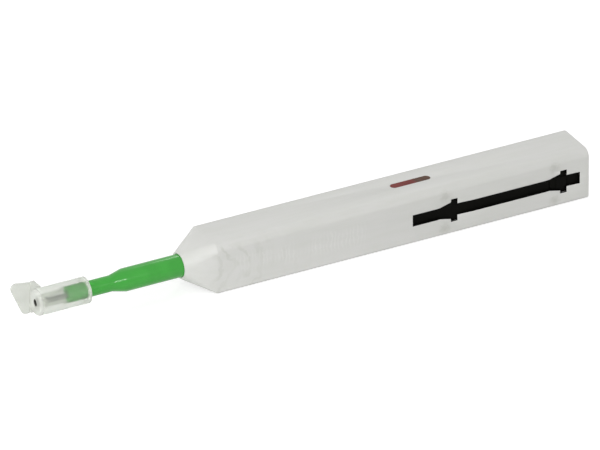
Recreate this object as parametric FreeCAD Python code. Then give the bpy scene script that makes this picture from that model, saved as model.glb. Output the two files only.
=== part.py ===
"""Push-type cleaning pen for 2.5 mm fibre ferrules.

Frame: millimetres, +Z up. The pen lies along X with its tip toward -X and stands on the flat
underside of its sleeve at Z = 0. Lengths along the pen are first taken from the plane where the
sloping nose meets the straight body, and the finished solids are then moved so that the origin
is below the middle of the whole pen.
"""
import FreeCAD, Part
import math
import os

V = FreeCAD.Vector

# ---- outer sleeve -------------------------------------------------------------------------------
body_length = 147.9          # straight part, behind the nose
body_width = 19.0
body_height = 19.0
top_edge_radius = 3.0
bottom_edge_radius = 0.8
sleeve_wall = 1.3
nose_length = 10.4
nose_tip_width = 9.6
nose_tip_flat = 0.6           # flat between the rounded corners of the nose's end
nose_collar_length = 3.0     # solid ring that guides the nozzle
rear_edge_radius = 0.5
inner_bottom_radius = 0.3
throat_radius = 2.4          # corners of the cavity behind the collar

# ---- openings in the sleeve ---------------------------------------------------------------------
window_length = 15.8
window_width = 3.2
window_offset = 4.5          # behind the supply reel's axle
pane_thickness = 0.9
pane_recess = 0.15           # pane below the sleeve's top
slot_drop = 0.6              # middle of the slot below the pen's axis
slot_height = 4.5
slot_lead = 16.7             # slot ahead of the front cross
slot_tail = 6.5              # slot behind the rear cross
rear_cross_inset = 10.2      # rear cross to the rear end
extension_travel = 43.7      # between the two crosses
cross_width = 2.6
cross_height = 8.9
flare_length = 4.4           # slot widens ahead of each cross
flare_height = 6.6
track_depth = 0.45           # channel inside the wall for rail and latch bar
track_height = 9.2
dish_radius = 7.6            # finger dishes round the crosses
dish_depth = 0.4

# ---- rear plug ----------------------------------------------------------------------------------
plug_plate = 1.6
plug_rebate = 0.6
plug_spigot_length = 1.5
plug_spigot_wall = 1.0

# ---- nozzle and guide cap -----------------------------------------------------------------------
nozzle_radius = 4.15
nozzle_neck_radius = 2.9
nozzle_shoulder = 32.2       # distance ahead of the nose base where the cone starts
nozzle_cone_end = 37.4
nozzle_mouth = 54.5
nozzle_bore_radius = 2.9
nozzle_neck_bore_radius = 1.7
nozzle_bearing_length = 6.0
cap_radius = 4.75
cap_back = 46.9
cap_front = 66.9
cap_front_wall = 1.2
cap_hole_radius = 1.4
cap_chamber_radius = 2.3
cap_grip_depth = 9.0         # length of the bore that holds the nozzle's neck
cap_mouth_chamfer = 0.5
cap_edge_radius = 0.7

# ---- lid of the guide cap -----------------------------------------------------------------------
lid_thickness = 0.9
lid_offset = 3.6             # pen's axis to the middle of the plate
lid_reach_top = 8.9          # ahead of the cap's face
lid_reach_bottom = 3.0
lid_rise = 7.9               # free corner above the pen's axis
lid_root_rise = 6.5          # hinge's upper end above the pen's axis
lid_drop = 5.5               # lower edge below the pen's axis
lid_corner_radius = 1.9
ear_depth_top = 1.8          # fixed ear, behind the cap's face
ear_depth_bottom = 4.0
ear_chamfer = 2.6
lid_face_gap = 0.2           # shut lid to the cap's face

# ---- chassis ------------------------------------------------------------------------------------
push_stroke = 10.0
chassis_wall = 1.2
chassis_floor = 1.0
cover_thickness = 0.8
bulkhead_thickness = 3.0
chassis_tail_gap = 0.4       # to the rear plug
chassis_nose_gap = 0.5       # to the nose when it is drawn out
spring_wall_thickness = 1.6  # cross wall that the return spring pushes on
cover_window_margin = 4.7    # opening past the reels
cover_rim = 2.7
screw_radius = 0.7
screw_head_radius = 1.3
screw_length = 3.6
screw_edge = 1.4             # screw to the channel's side
rail_gap = 0.3               # rail on the chassis to the track's face
rail_side_gap = 0.25

# ---- latch --------------------------------------------------------------------------------------
latch_bar_width = 2.2
latch_bar_height = 8.5
latch_notch = 0.6            # in the bar's lower end
latch_crown_flat = 0.1       # left on each side of the bar's rounded top
latch_flare_length = 4.0     # arm ahead of the bar, as wide as the slot's flare
latch_flare_gap = 0.25
latch_tongue_height = 4.0    # ridge that stands in the slot
latch_tongue_length = 1.6
latch_tongue_recess = 0.5    # ridge below the sleeve's side
latch_flange_margin = 0.7
latch_flange_thickness = 1.0
latch_spring_radius = 1.7
latch_spring_wire = 0.4
latch_spring_turns = 3.5
latch_spring_length = 6.0
latch_boss_radius = 1.2
latch_boss_length = 1.2
latch_wall_gap = 0.1         # bar to the inside of the sleeve

# ---- shuttle ------------------------------------------------------------------------------------
cheek_thickness = 1.2
front_block_length = 5.0
shaft_bay_length = 16.7
bearing_web = 1.2
shuttle_tail = 4.0
return_spring_radius = 3.0
return_spring_wire = 0.6
return_spring_turns = 7
facets_per_turn = 14
wire_facets = 6
spring_boss_radius = 2.2
spring_boss_length = 3.0
nozzle_seat_length = 3.2

# ---- reels and their drive ----------------------------------------------------------------------
reel_floor_gap = 0.7
reel_gap = 0.8               # between the two reels
reel_end_gap = 1.0           # behind the take-up reel
reel_hub_radius = 3.0
flange_thickness = 0.6
gear_side_gap = 0.6          # gear to the shuttle's cheek
roll_margin = 0.6            # wound tape inside the supply reel's rim
take_up_roll_radius = 3.7
axle_radius = 1.5
rack_base = 1.275            # rack below its teeth
gear_teeth = 20
tooth_root = 1.25            # depth below the pitch line, in modules
rack_spare_teeth = 5
gear_width = 1.5
pressure_angle = 20.0
tooth_backlash = 0.12

# ---- tip ----------------------------------------------------------------------------------------
tip_press = 1.5
tube_radius = 1.175
tube_bore_radius = 0.95
tip_front = 63.9
tip_length = 3.2
tip_shoulder = 1.6           # tip that stands out of the tube
collar_radius = 2.1
collar_length = 2.0
collar_station = 30.0
tip_spring_radius = 1.85
tip_spring_wire = 0.35
tip_spring_turns = 7
barrel_radius = 2.5
barrel_front_gap = 1.5
journal_radius = 1.9
tube_socket_depth = 8.0
turn_per_stroke = 180.0      # degrees that the tip turns in one push
cam_pin_radius = 0.6
cam_groove_depth = 0.65
cam_boss_radius = 1.2
cam_boss_height = 1.6
tape_thickness = 0.12
tape_width = 1.2
tape_offset = 0.3            # each strand from the tube's axis

# ---- clearances ---------------------------------------------------------------------------------
slide_gap = 0.3              # between sliding frames
running_gap = 0.05           # round shafts and tubes
guide_gap = 0.15             # nozzle in the nose and in the chassis
fixed_gap = 0.02             # between pieces pressed or screwed together
overrun = 0.5                # cutters and joined stock past a face

# ---- places that follow from the sizes ----------------------------------------------------------
axis_z = body_height / 2
slot_level = axis_z - slot_drop
rear_cross = body_length - rear_cross_inset
front_cross = rear_cross - extension_travel
cavity_half_width = body_width / 2 - sleeve_wall
cavity_floor = sleeve_wall
cavity_top = body_height - sleeve_wall
chassis_half_width = cavity_half_width - slide_gap
chassis_base = cavity_floor + slide_gap
chassis_top = cavity_top - slide_gap
chassis_front = extension_travel + chassis_nose_gap
chassis_back = body_length - plug_plate - plug_spigot_length - chassis_tail_gap
channel_half_width = chassis_half_width - chassis_wall
channel_floor = chassis_base + chassis_floor
channel_top = chassis_top - cover_thickness
shuttle_front = chassis_front + bulkhead_thickness + slide_gap
shuttle_half_width = channel_half_width - slide_gap
shuttle_bay_half_width = shuttle_half_width - cheek_thickness
shuttle_bottom = channel_floor + slide_gap
shuttle_top = channel_top - slide_gap
web_front = shuttle_front + front_block_length + shaft_bay_length
web_back = web_front + bearing_web
reel_radius = axis_z - channel_floor - reel_floor_gap
reel_spacing = 2 * reel_radius + reel_gap
supply_station = web_back + slide_gap + reel_radius
supply_roll_radius = reel_radius - roll_margin
take_up_station = supply_station + reel_spacing
shuttle_back = take_up_station + reel_radius + reel_end_gap + shuttle_tail
barrel_front = shuttle_front + front_block_length + barrel_front_gap
barrel_back = web_front - slide_gap / 2
cam_station = web_front - slide_gap - cam_boss_radius
gear_module = (axis_z - channel_floor - rack_base) / (gear_teeth / 2 + tooth_root)
pitch_radius = gear_module * gear_teeth / 2
tooth_pitch = math.pi * gear_module
rack_teeth = int(push_stroke / tooth_pitch) + rack_spare_teeth
nozzle_tail = shuttle_front + nozzle_seat_length
reel_half_width = shuttle_bay_half_width - gear_side_gap - gear_width
roll_width = 2 * (reel_half_width - flange_thickness)
shaft_front = nozzle_tail + slide_gap
tube_back = shaft_front + tube_socket_depth - tip_press - slide_gap
latch_flange_face = -channel_half_width + slide_gap
latch_flange_back = latch_flange_face + latch_flange_thickness
latch_arm_front = rear_cross - latch_bar_width / 2 - latch_flare_length
latch_bay_front = latch_arm_front - latch_flange_margin - 2 * slide_gap
spring_wall_start = latch_bay_front - spring_wall_thickness
track_face = cavity_half_width + track_depth
rail_face = track_face - rail_gap
hinge_x = -cap_front - lid_face_gap - lid_thickness / 2
lid_low = axis_z - lid_drop
lid_root_high = axis_z + lid_root_rise


# ---- helpers ------------------------------------------------------------------------------------
def box(x0, x1, y0, y1, z0, z1):
    """Upright box between two corners."""
    return Part.makeBox(x1 - x0, y1 - y0, z1 - z0, V(x0, y0, z0))


def rod_x(radius, x0, x1, y=0.0, z=axis_z):
    """Round bar along X."""
    return Part.makeCylinder(radius, x1 - x0, V(x0, y, z), V(1, 0, 0))


def rod_y(radius, y0, y1, x, z=axis_z):
    """Round bar along Y."""
    return Part.makeCylinder(radius, y1 - y0, V(x, y0, z), V(0, 1, 0))


def turned_x(profile):
    """Solid of revolution about the pen's axis from (x, radius) corners."""
    points = [V(x, 0, axis_z + radius) for x, radius in profile]
    face = Part.Face(Part.makePolygon(points + points[:1]))
    return face.revolve(V(0, 0, axis_z), V(1, 0, 0), 360)


def section(x, width, bottom, top, radius_top, radius_bottom):
    """Closed YZ outline with rounded corners at station x."""
    half = width / 2
    corners = [
        (half, top, radius_top, 0), (-half, top, radius_top, 90),
        (-half, bottom, radius_bottom, 180), (half, bottom, radius_bottom, 270),
    ]
    arcs = []
    for y, z, radius, start in corners:
        centre = V(x, y - math.copysign(radius, y), z + (radius if start >= 180 else -radius))
        ends = []
        for turn in (0, 45, 90):
            angle = math.radians(start + turn)
            ends.append(centre + V(0, radius * math.cos(angle), radius * math.sin(angle)))
        arcs.append((Part.Arc(*ends).toShape(), ends[0], ends[2]))
    edges = []
    for index, (arc, first, last) in enumerate(arcs):
        following = arcs[(index + 1) % len(arcs)][1]
        edges += [arc, Part.LineSegment(last, following).toShape()]
    return Part.Wire(edges)


def loft(*wires):
    """Closed solid with straight rules between outlines."""
    return Part.makeLoft(list(wires), True, True)


def prism_y(points, y0, y1):
    """XZ polygon carried along Y."""
    corners = [V(x, y0, z) for x, z in points]
    return Part.Face(Part.makePolygon(corners + corners[:1])).extrude(V(0, y1 - y0, 0))


def stadium(length, width):
    """Flat slot outline in XY round the origin."""
    reach = length / 2 - width / 2
    half = width / 2
    edges = [
        Part.LineSegment(V(-reach, -half, 0), V(reach, -half, 0)).toShape(),
        Part.Arc(V(reach, -half, 0), V(reach + half, 0, 0), V(reach, half, 0)).toShape(),
        Part.LineSegment(V(reach, half, 0), V(-reach, half, 0)).toShape(),
        Part.Arc(V(-reach, half, 0), V(-reach - half, 0, 0), V(-reach, -half, 0)).toShape(),
    ]
    return Part.Face(Part.Wire(edges))


def coil(mean_radius, wire_radius, turns, start, end, direction):
    """Open compression spring from start to end, as short straight lengths of wire."""
    length = (end - start).Length - 2 * wire_radius
    lead = length / turns
    slope = math.atan2(lead, 2 * math.pi * mean_radius)
    rings = []
    for step in range(int(turns * facets_per_turn) + 1):
        angle = 2 * math.pi * step / facets_per_turn
        outward = V(math.cos(angle), math.sin(angle), 0)
        across = V(math.sin(angle) * math.sin(slope), -math.cos(angle) * math.sin(slope), math.cos(slope))
        centre = outward * mean_radius + V(0, 0, lead * step / facets_per_turn)
        corners = []
        for corner in range(wire_facets):
            turn = 2 * math.pi * corner / wire_facets
            corners.append(centre + outward * (wire_radius * math.cos(turn))
                           + across * (wire_radius * math.sin(turn)))
        rings.append(Part.makePolygon(corners + corners[:1]))
    solid = loft(*rings)
    solid.rotate(V(0, 0, 0), V(0, 0, 1).cross(direction), 90)
    solid.translate(start + direction * wire_radius)
    return solid


def ribbon(points, thickness, width):
    """Strip of tape that follows an XZ line, square across Y."""
    left = []
    right = []
    for index, point in enumerate(points):
        before = (point - points[index - 1]).normalize() if index else None
        after = (points[index + 1] - point).normalize() if index + 1 < len(points) else None
        along = (before or after) + (after or before)
        along.normalize()
        lean = along.dot(before or after)
        side = V(-along.z, 0, along.x) * (thickness / 2 / lean)
        left.append(point + side)
        right.append(point - side)
    corners = left + right[::-1]
    face = Part.Face(Part.makePolygon(corners + corners[:1]))
    solid = face.extrude(V(0, width, 0))
    solid.translate(V(0, -width / 2, 0))
    return solid


# ---- case ---------------------------------------------------------------------------------------
def outer_sleeve():
    """Square sleeve with a four-sided nose, window, latch slot and finger dishes."""
    base = section(0, body_width, 0, body_height, top_edge_radius, bottom_edge_radius)
    straight = Part.Face(base).extrude(V(body_length, 0, 0))
    rear = [e for e in straight.Edges if min(v.X for v in e.Vertexes) > body_length - 1e-6]
    straight = straight.makeFillet(rear_edge_radius, rear)
    tip_half = nose_tip_width / 2
    corner = tip_half - nose_tip_flat / 2
    tip = section(-nose_length, nose_tip_width, axis_z - tip_half, axis_z + tip_half, corner, corner)
    shell = straight.fuse(loft(tip, base))

    inner_radius = top_edge_radius - sleeve_wall
    cavity_width = 2 * cavity_half_width
    mouth = section(0, cavity_width, cavity_floor, cavity_top, inner_radius, inner_bottom_radius)
    cavity = Part.Face(mouth).extrude(V(body_length, 0, 0))
    taper = 1 - nose_collar_length / nose_length
    small_half = (body_width + (nose_tip_width - body_width) * taper) / 2 - sleeve_wall
    drop = (axis_z - tip_half) * taper + sleeve_wall
    throat = section(nose_collar_length - nose_length, 2 * small_half, drop, body_height - drop,
                     throat_radius, throat_radius)
    cavity = cavity.fuse(loft(throat, mouth))
    rebate_half = cavity_half_width + plug_rebate
    rebate = section(body_length - plug_plate, 2 * rebate_half, cavity_floor - plug_rebate,
                     cavity_top + plug_rebate, inner_radius + plug_rebate, inner_bottom_radius)
    shell = shell.cut(cavity)
    shell = shell.cut(Part.Face(rebate).extrude(V(plug_plate + 1, 0, 0)))
    shell = shell.cut(rod_x(nozzle_radius + guide_gap, -nose_length - 1, 0))

    window = stadium(window_length, window_width).extrude(V(0, 0, body_height))
    window.translate(V(supply_station + window_offset, 0, axis_z))
    shell = shell.cut(window)
    track = box(0, body_length, -track_face, -cavity_half_width + overrun,
                slot_level - track_height / 2, slot_level + track_height / 2)
    shell = shell.cut(track)
    ball = (dish_radius ** 2 + dish_depth ** 2) / (2 * dish_depth)
    for station in (front_cross, rear_cross):
        centre = V(station, -body_width / 2 + dish_depth - ball, slot_level)
        shell = shell.cut(Part.makeSphere(ball, centre))
    return shell.cut(slot_cutter())


def slot_cutter():
    """Long slot with a cross and a flare ahead of it at each latch place."""
    outside = -body_width / 2 - 1
    inside = -cavity_half_width + overrun
    half = slot_height / 2
    wide = flare_height / 2
    cutter = box(front_cross - slot_lead, rear_cross + slot_tail, outside, inside,
                 slot_level - half, slot_level + half)
    for station in (front_cross, rear_cross):
        edge = station - cross_width / 2
        flare = prism_y([(edge - flare_length, slot_level - half), (edge, slot_level - wide),
                         (edge, slot_level + wide), (edge - flare_length, slot_level + half)],
                        outside, inside)
        cross = box(edge, edge + cross_width, outside, inside,
                    slot_level - cross_height / 2, slot_level + cross_height / 2)
        cutter = cutter.fuse([flare, cross])
    return cutter


def rear_plug():
    """Lid pressed into the rear mouth of the sleeve."""
    radius = top_edge_radius - sleeve_wall
    half = cavity_half_width + plug_rebate - fixed_gap
    plate = section(body_length - plug_plate + fixed_gap, 2 * half,
                    cavity_floor - plug_rebate + fixed_gap, cavity_top + plug_rebate - fixed_gap,
                    radius + plug_rebate, inner_bottom_radius)
    plug = Part.Face(plate).extrude(V(plug_plate - fixed_gap, 0, 0))
    start = body_length - plug_plate - plug_spigot_length
    half = cavity_half_width - fixed_gap
    spigot = section(start, 2 * half, cavity_floor + fixed_gap, cavity_top - fixed_gap,
                     radius, inner_bottom_radius)
    hollow_half = half - plug_spigot_wall
    hollow = box(start - 1, body_length - plug_plate, -hollow_half, hollow_half,
                 cavity_floor + plug_spigot_wall, cavity_top - plug_spigot_wall)
    rim = Part.Face(spigot).extrude(V(plug_spigot_length + 2 * fixed_gap, 0, 0)).cut(hollow)
    return plug.fuse(rim)


def window_pane():
    """Tinted pane pressed into the window."""
    outline = stadium(window_length - 2 * fixed_gap, window_width - 2 * fixed_gap)
    pane = outline.extrude(V(0, 0, pane_thickness))
    pane.translate(V(supply_station + window_offset, 0, body_height - pane_recess - pane_thickness))
    return pane


# ---- chassis ------------------------------------------------------------------------------------
def screw_places():
    """X and Y of the cover screws."""
    inset = bulkhead_thickness / 2
    for x in (chassis_front + inset, chassis_back - inset):
        for side in (-1, 1):
            yield x, side * (channel_half_width - screw_edge)


def screw_form(gap):
    """Countersunk screw at the origin, head face at Z = 0."""
    sink = screw_head_radius - screw_radius
    head = Part.makeCone(screw_radius + gap, screw_head_radius + gap, sink, V(0, 0, -sink))
    shank = Part.makeCylinder(screw_radius + gap, screw_length + gap, V(0, 0, -screw_length - gap))
    return head.fuse(shank)


def latch_outline(gap):
    """XZ outline of the latch: flared arm, cross bar and short tail, grown by a gap."""
    half_bar = latch_bar_width / 2 + gap
    half_height = latch_bar_height / 2 + gap
    narrow = slot_height / 2 - latch_flare_gap + gap
    wide = flare_height / 2 - latch_flare_gap + gap
    front = latch_arm_front - gap
    return [(front, slot_level - narrow), (rear_cross - half_bar, slot_level - wide),
            (rear_cross - half_bar, slot_level - half_height),
            (rear_cross + half_bar, slot_level - half_height),
            (rear_cross + half_bar, slot_level + half_height),
            (rear_cross - half_bar, slot_level + half_height),
            (rear_cross - half_bar, slot_level + wide), (front, slot_level + narrow)]


def chassis_frame():
    """Black channel that carries the shuttle, the rack and the latch."""
    radius = top_edge_radius - sleeve_wall - slide_gap
    outline = section(chassis_front, 2 * chassis_half_width, chassis_base, chassis_top, radius, 0.3)
    frame = Part.Face(outline).extrude(V(chassis_back - chassis_front, 0, 0))
    rail_half = track_height / 2 - rail_side_gap
    frame = frame.fuse(box(chassis_front, chassis_back, -rail_face, 0,
                           slot_level - rail_half, slot_level + rail_half))
    half = channel_half_width
    above = chassis_top + 1
    frame = frame.cut(box(chassis_front - 1, chassis_back + 1, -half, half, channel_top, above))
    bay_start = chassis_front + bulkhead_thickness
    frame = frame.cut(box(bay_start, spring_wall_start, -half, half, channel_floor, above))
    frame = frame.cut(box(latch_bay_front, chassis_back - bulkhead_thickness, -half, half,
                          channel_floor, above))
    frame = frame.cut(rod_x(nozzle_radius + guide_gap, chassis_front - 1, bay_start + 1))
    for x, y in screw_places():
        hole = Part.makeCylinder(screw_radius + fixed_gap, screw_length + overrun,
                                 V(x, y, chassis_top - screw_length - 0.5))
        frame = frame.cut(hole)
    frame = frame.cut(prism_y(latch_outline(slide_gap), -rail_face - 1, 0.5 - channel_half_width))
    post_start = latch_flange_back + latch_spring_length
    post = rod_y(latch_spring_radius + latch_spring_wire, post_start, channel_half_width + overrun,
                 rear_cross, slot_level)
    boss = rod_x(spring_boss_radius, spring_wall_start - spring_boss_length, spring_wall_start + 0.5)
    cam_boss = Part.makeCylinder(cam_boss_radius, cam_boss_height + overrun,
                                 V(cam_station, 0, channel_floor - 0.5))
    pin_hole = Part.makeCylinder(cam_pin_radius + fixed_gap, cam_boss_height + 1,
                                 V(cam_station, 0, channel_floor - 0.4))
    return frame.fuse([post, boss, cam_boss]).cut(pin_hole)


def chassis_cover():
    """Plate over the channel, open above the reels."""
    half = channel_half_width - fixed_gap
    plate = box(chassis_front, chassis_back, -half, half, channel_top, chassis_top)
    opening_half = channel_half_width - cover_rim
    corner = opening_half / 2
    opening = box(supply_station - reel_radius - cover_window_margin,
                  take_up_station + reel_radius + cover_window_margin,
                  -opening_half, opening_half, channel_top - 1, chassis_top + 1)
    upright = [e for e in opening.Edges if abs(e.Vertexes[0].Z - e.Vertexes[1].Z) > 1]
    plate = plate.cut(opening.makeFillet(corner, upright))
    for x, y in screw_places():
        hole = screw_form(fixed_gap)
        hole.translate(V(x, y, chassis_top))
        plate = plate.cut(hole)
    return plate


def cover_screws():
    """Four countersunk screws of the cover."""
    screws = []
    for x, y in screw_places():
        screw = screw_form(0)
        screw.translate(V(x, y, chassis_top))
        screws.append(screw)
    return Part.makeCompound(screws)


def feed_rack():
    """Rack on the chassis floor that turns the drive gear."""
    pitch_line = axis_z - pitch_radius
    root = pitch_line - tooth_root * gear_module
    crest = pitch_line + gear_module
    slope = math.tan(math.radians(pressure_angle))
    half_tooth = tooth_pitch / 4 - tooth_backlash / 2
    start = take_up_station - 2.5 * tooth_pitch
    points = [V(start - tooth_pitch / 2, 0, channel_floor), V(start - tooth_pitch / 2, 0, root)]
    for tooth in range(rack_teeth):
        middle = start + tooth * tooth_pitch
        foot = half_tooth + (pitch_line - root) * slope
        tip = half_tooth - (crest - pitch_line) * slope
        points += [V(middle - foot, 0, root), V(middle - tip, 0, crest),
                   V(middle + tip, 0, crest), V(middle + foot, 0, root)]
    finish = start + (rack_teeth - 0.5) * tooth_pitch
    points += [V(finish, 0, root), V(finish, 0, channel_floor)]
    rack = Part.Face(Part.makePolygon(points + points[:1])).extrude(V(0, gear_width, 0))
    rack.translate(V(0, reel_half_width + slide_gap, 0))
    return rack


def cam_pin():
    """Steel pin that stands in the groove of the cam shaft."""
    top = axis_z - barrel_radius + cam_groove_depth - running_gap
    return Part.makeCylinder(cam_pin_radius, top - channel_floor, V(cam_station, 0, channel_floor))


def latch_button():
    """Flared cross bar with a ridge in the slot and the flange that holds it in the chassis."""
    bar_face = latch_wall_gap - track_face
    outline = latch_outline(0)
    button = prism_y(outline, bar_face, latch_flange_back)
    top = slot_level + latch_bar_height / 2
    crown = [e for e in button.Edges if abs(e.Vertexes[0].Y - e.Vertexes[1].Y) > 1
             and e.Vertexes[0].Z > top - 0.1]
    button = button.makeFillet(latch_bar_width / 2 - latch_crown_flat, crown)
    bottom = slot_level - latch_bar_height / 2
    notch = prism_y([(rear_cross - latch_notch, bottom - 0.1), (rear_cross + latch_notch, bottom - 0.1),
                     (rear_cross, bottom + latch_notch)], bar_face - 1, latch_flange_back + 1)
    button = button.cut(notch)
    ridge_half = latch_tongue_height / 2
    ridge = box(rear_cross - latch_bar_width / 2 - latch_tongue_length,
                rear_cross + latch_bar_width / 2, latch_tongue_recess - body_width / 2,
                latch_flange_back, slot_level - ridge_half, slot_level + ridge_half)
    margin = latch_flange_margin + slide_gap
    flange = box(latch_arm_front - margin, rear_cross + latch_bar_width / 2 + margin,
                 latch_flange_face, latch_flange_back, bottom - margin, top + margin)
    boss = rod_y(latch_boss_radius, latch_flange_back - 0.2, latch_flange_back + latch_boss_length,
                 rear_cross, slot_level)
    return button.fuse([ridge, flange, boss])


def latch_spring():
    """Small coil behind the latch."""
    start = V(rear_cross, latch_flange_back, slot_level)
    return coil(latch_spring_radius, latch_spring_wire / 2, latch_spring_turns, start,
                start + V(0, latch_spring_length, 0), V(0, 1, 0))


# ---- shuttle ------------------------------------------------------------------------------------
def shuttle_frame():
    """Ladder of two cheeks and three cross pieces that carries nozzle, shaft and reels."""
    outer = shuttle_half_width
    inner = shuttle_bay_half_width
    low = shuttle_bottom
    high = shuttle_top
    frame = box(shuttle_front, shuttle_back, -outer, outer, low, high)
    shaft_bay = shuttle_front + front_block_length
    frame = frame.cut(box(shaft_bay, web_front, -inner, inner, low - 1, high + 1))
    frame = frame.cut(box(web_back, shuttle_back - shuttle_tail, -inner, inner, low - 1, high + 1))
    frame = frame.cut(rod_x(nozzle_radius + fixed_gap, shuttle_front - 1, nozzle_tail))
    frame = frame.cut(rod_x(journal_radius + running_gap, nozzle_tail - 1, web_back + 1))
    rack_crest = axis_z - pitch_radius + gear_module
    frame = frame.cut(box(web_back, shuttle_back + 1, reel_half_width, inner, low - 1,
                          rack_crest + slide_gap))
    for station in (supply_station, take_up_station):
        frame = frame.cut(rod_y(axle_radius + fixed_gap, -outer - 1, outer + 1, station))
    return frame.fuse(rod_x(spring_boss_radius, shuttle_back - 0.5, shuttle_back + spring_boss_length))


def nozzle():
    """Green stepped tube that reaches from the shuttle to the guide cap."""
    neck_back = nozzle_bearing_length - nozzle_mouth
    return turned_x([
        (nozzle_tail - fixed_gap, nozzle_bore_radius), (nozzle_tail - fixed_gap, nozzle_radius),
        (-nozzle_shoulder, nozzle_radius), (-nozzle_cone_end, nozzle_neck_radius),
        (-nozzle_mouth, nozzle_neck_radius), (-nozzle_mouth, tube_radius + running_gap),
        (neck_back, tube_radius + running_gap), (neck_back, nozzle_neck_bore_radius),
        (-nozzle_cone_end, nozzle_neck_bore_radius), (-nozzle_shoulder, nozzle_bore_radius)])


def axle(station):
    """Plain steel pin of one reel."""
    return rod_y(axle_radius, -shuttle_half_width, shuttle_half_width, station)


def return_spring():
    """Coil between the shuttle and the spring wall."""
    return coil(return_spring_radius, return_spring_wire / 2, return_spring_turns,
                V(shuttle_back, 0, axis_z), V(spring_wall_start, 0, axis_z), V(1, 0, 0))


# ---- reels --------------------------------------------------------------------------------------
def reel(station):
    """Hub with two flanges, turning on its axle."""
    half = roll_width / 2
    body = rod_y(reel_hub_radius, -half, half, station)
    for side in (-1, 1):
        inside, outside = sorted((side * half, side * reel_half_width))
        body = body.fuse(rod_y(reel_radius, inside, outside, station))
    return body.cut(rod_y(axle_radius + running_gap, -roll_width, roll_width, station))


def tape_roll(station, radius):
    """Tape wound on a hub, as one ring."""
    half = roll_width / 2 - fixed_gap
    roll = rod_y(radius, -half, half, station)
    return roll.cut(rod_y(reel_hub_radius + fixed_gap, -roll_width, roll_width, station))


def involute_point(base, radius):
    """Angle that an involute has swept when it reaches a radius."""
    stretch = math.sqrt(max((radius / base) ** 2 - 1, 0))
    return stretch - math.atan(stretch)


def drive_gear():
    """Spur gear fixed beside the take-up reel."""
    base = pitch_radius * math.cos(math.radians(pressure_angle))
    root = pitch_radius - tooth_root * gear_module
    crest = pitch_radius + gear_module
    half_tooth = (tooth_pitch / 2 - tooth_backlash) / 2 / pitch_radius
    start = max(root, base)
    steps = 4
    flank = [start + (crest - start) * step / steps for step in range(steps + 1)]
    points = []
    for tooth in range(gear_teeth):
        middle = math.radians(270) + 2 * math.pi * tooth / gear_teeth
        spread = [half_tooth + involute_point(base, pitch_radius) - involute_point(base, r)
                  for r in flank]
        rising = [(root, -spread[0])] + [(r, -a) for r, a in zip(flank, spread)]
        sides = rising + [(r, -a) for r, a in reversed(rising)]
        points += [V(take_up_station + r * math.cos(middle + a), reel_half_width,
                     axis_z + r * math.sin(middle + a)) for r, a in sides]
    gear = Part.Face(Part.makePolygon(points + points[:1])).extrude(V(0, gear_width, 0))
    return gear.cut(rod_y(axle_radius + running_gap, 0, body_width / 2, take_up_station))


# ---- tip ----------------------------------------------------------------------------------------
def cam_shaft():
    """Hollow shaft with the helical groove that turns the tip."""
    socket = tube_radius + running_gap
    passage = tube_bore_radius + running_gap
    socket_end = shaft_front + tube_socket_depth
    shaft = turned_x([
        (shaft_front, socket), (shaft_front, journal_radius), (barrel_front, journal_radius),
        (barrel_front, barrel_radius), (barrel_back, barrel_radius), (barrel_back, journal_radius),
        (web_back, journal_radius), (web_back, passage), (socket_end, passage),
        (socket_end, socket)])
    lead = push_stroke * 360 / turn_per_stroke
    circumference = 2 * math.pi * (barrel_radius - cam_groove_depth)
    steepness = math.atan2(circumference, lead)
    groove_width = 2 * (cam_pin_radius + guide_gap) / math.sin(steepness)
    start = cam_station - push_stroke - groove_width / 2
    length = barrel_back + groove_width - start
    path = Part.makeHelix(lead, length, barrel_radius)
    inner = barrel_radius - cam_groove_depth
    outer = barrel_radius + cam_groove_depth
    corners = [V(inner, 0, -groove_width / 2), V(outer, 0, -groove_width / 2),
               V(outer, 0, groove_width / 2), V(inner, 0, groove_width / 2)]
    profile = Part.makePolygon(corners + corners[:1])
    groove = Part.Wire(path).makePipeShell([profile], True, True)
    groove.rotate(V(0, 0, 0), V(0, 0, 1), -360 * (cam_station - start) / lead)
    groove.rotate(V(0, 0, 0), V(0, 1, 0), 90)
    groove.translate(V(start, 0, axis_z))
    return shaft.cut(groove)


def feed_tube():
    """Thin steel tube that carries the tape to the tip."""
    front = tip_shoulder - tip_front
    return rod_x(tube_radius, front, tube_back).cut(rod_x(tube_bore_radius, front - 1, tube_back + 1))


def tube_collar():
    """Ring pressed on the tube, pushed forward by the tip spring."""
    end = collar_station + collar_length
    return rod_x(collar_radius, collar_station, end).cut(
        rod_x(tube_radius + fixed_gap, collar_station - 1, end + 1))


def cleaning_tip():
    """White tip that presses the tape on the ferrule."""
    stem = rod_x(tube_bore_radius - fixed_gap, tip_shoulder - tip_front, tip_length - tip_front)
    head = rod_x(tube_radius, -tip_front, tip_shoulder - tip_front)
    half = tape_offset - tape_thickness / 2 - fixed_gap
    return stem.fuse(head).common(box(-tip_front, 0, -tube_radius, tube_radius,
                                      axis_z - half, axis_z + half))


def tip_spring():
    """Coil that pushes the tube forward."""
    return coil(tip_spring_radius, tip_spring_wire / 2, tip_spring_turns,
                V(collar_station + collar_length, 0, axis_z), V(shaft_front, 0, axis_z), V(1, 0, 0))


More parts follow.
